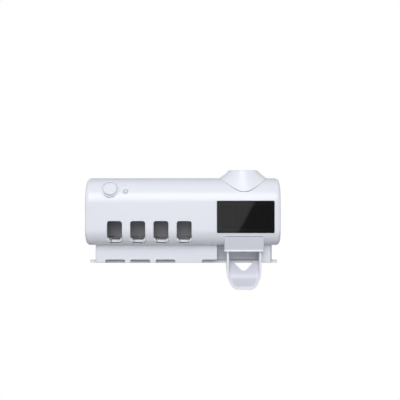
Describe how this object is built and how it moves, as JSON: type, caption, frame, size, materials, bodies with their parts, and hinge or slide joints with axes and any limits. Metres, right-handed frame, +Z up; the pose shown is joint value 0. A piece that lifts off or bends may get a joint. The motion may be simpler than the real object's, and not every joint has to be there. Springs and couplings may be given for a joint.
{
  "type": "toothpaste dispenser",
  "caption": "Wall-hung white dispenser with a funnel for an upturned tube, a push lever under a solar panel, and slots that hold and sterilise toothbrushes.",
  "frame": {"origin": "middle of the wall plate, on the wall's face, where the adhesive pads meet it", "axes": "+X to the right seen from the front, +Y back into the wall, +Z up; the front faces -Y"},
  "size_m": [0.236, 0.0577, 0.1451],
  "materials": {
    "white_shell": "glossy white moulded plastic with a cool tint",
    "white_inner": "satin white moulded plastic",
    "lilac_white": "satin lilac-white moulded plastic",
    "dark_liner": "matt dark grey plastic",
    "clear_dark": "tinted glossy glass",
    "solar_film": "very dark blue cell sheet",
    "black_rubber": "black rubber",
    "clear_lens": "clear plastic",
    "silicone": "translucent grey silicone",
    "steel": "bright steel",
    "chrome_ring": "bright plating",
    "circuit": "green circuit board",
    "chip": "black resin",
    "lamp": "lamp with a yellow face",
    "cell_wrap": "blue shrink sleeve",
    "foam_tape": "grey foam tape",
    "red_lead": "red insulation",
    "black_lead": "black insulation"
  },
  "bodies": {
    "wall_plate": {"wall_plate": "white_inner", "adhesive_pads": "foam_tape"},
    "housing": {"rear_housing": "white_shell", "brush_rack": "white_inner", "rack_screws": "steel", "chamber_liner": "dark_liner", "housing_magnets": "steel", "tube_funnel": "white_shell", "tube_seal": "silicone", "pump_cap": "white_inner", "pump_screws": "steel", "inlet_valve": "silicone", "pump_housing": "white_inner", "housing_screws": "steel", "pump_diaphragm": "silicone", "outlet_nozzle": "silicone", "return_spring": "steel", "lever_pin": "steel", "squeezer_hood": "lilac_white"},
    "plunger": {"plunger": "white_inner"},
    "lever": {"push_lever": "lilac_white"},
    "cover": {"front_cover": "white_shell", "solar_glass": "clear_dark", "solar_gasket": "black_rubber", "solar_cells": "solar_film", "indicator_ring": "chrome_ring", "indicator_lens": "clear_lens", "indicator_lamp": "clear_lens", "control_board": "circuit", "board_chips": "chip", "board_screws": "steel", "tact_switch": "chip", "uv_board": "circuit", "uv_lamps": "lamp", "uv_lens": "clear_lens", "battery": "cell_wrap", "battery_cradle": "white_inner", "charge_board": "circuit", "charge_socket": "steel", "cover_magnets": "steel", "solar_lead": "red_lead", "battery_lead": "black_lead", "uv_lead": "black_lead", "charge_lead": "black_lead"},
    "button": {"power_button": "white_shell", "switch_plunger": "chip"}
  },
  "joints": [
    {"name": "hang_lift", "type": "slide", "parent": "wall_plate", "child": "housing", "axis": [0, 0, 1], "range_m": [0, 0.0055]},
    {"name": "cover_pull", "type": "slide", "parent": "housing", "child": "cover", "axis": [0, -1, 0], "range_m": [0, 0.07]},
    {"name": "button_press", "type": "slide", "parent": "cover", "child": "button", "axis": [0, 0.848, -0.5299], "range_m": [0, 0.0008], "stiffness_N_per_m": 1200, "springref_m": -0.0004},
    {"name": "lever_push", "type": "hinge", "parent": "housing", "child": "lever", "pos_m": [0.074, -0.0472, 0.004], "axis": [1, 0, 0], "range_deg": [0, 14], "stiffness_Nm_per_rad": 0.12, "springref_deg": -11.46},
    {"name": "plunger_slide", "type": "slide", "parent": "housing", "child": "plunger", "axis": [0, 1, 0], "range_m": [0, 0.00442], "deforming": ["return_spring", "pump_diaphragm"]}
  ],
  "couplings": [
    {"joint": "plunger_slide", "follows": "lever_push", "m_per_rad": 0.01805}
  ]
}
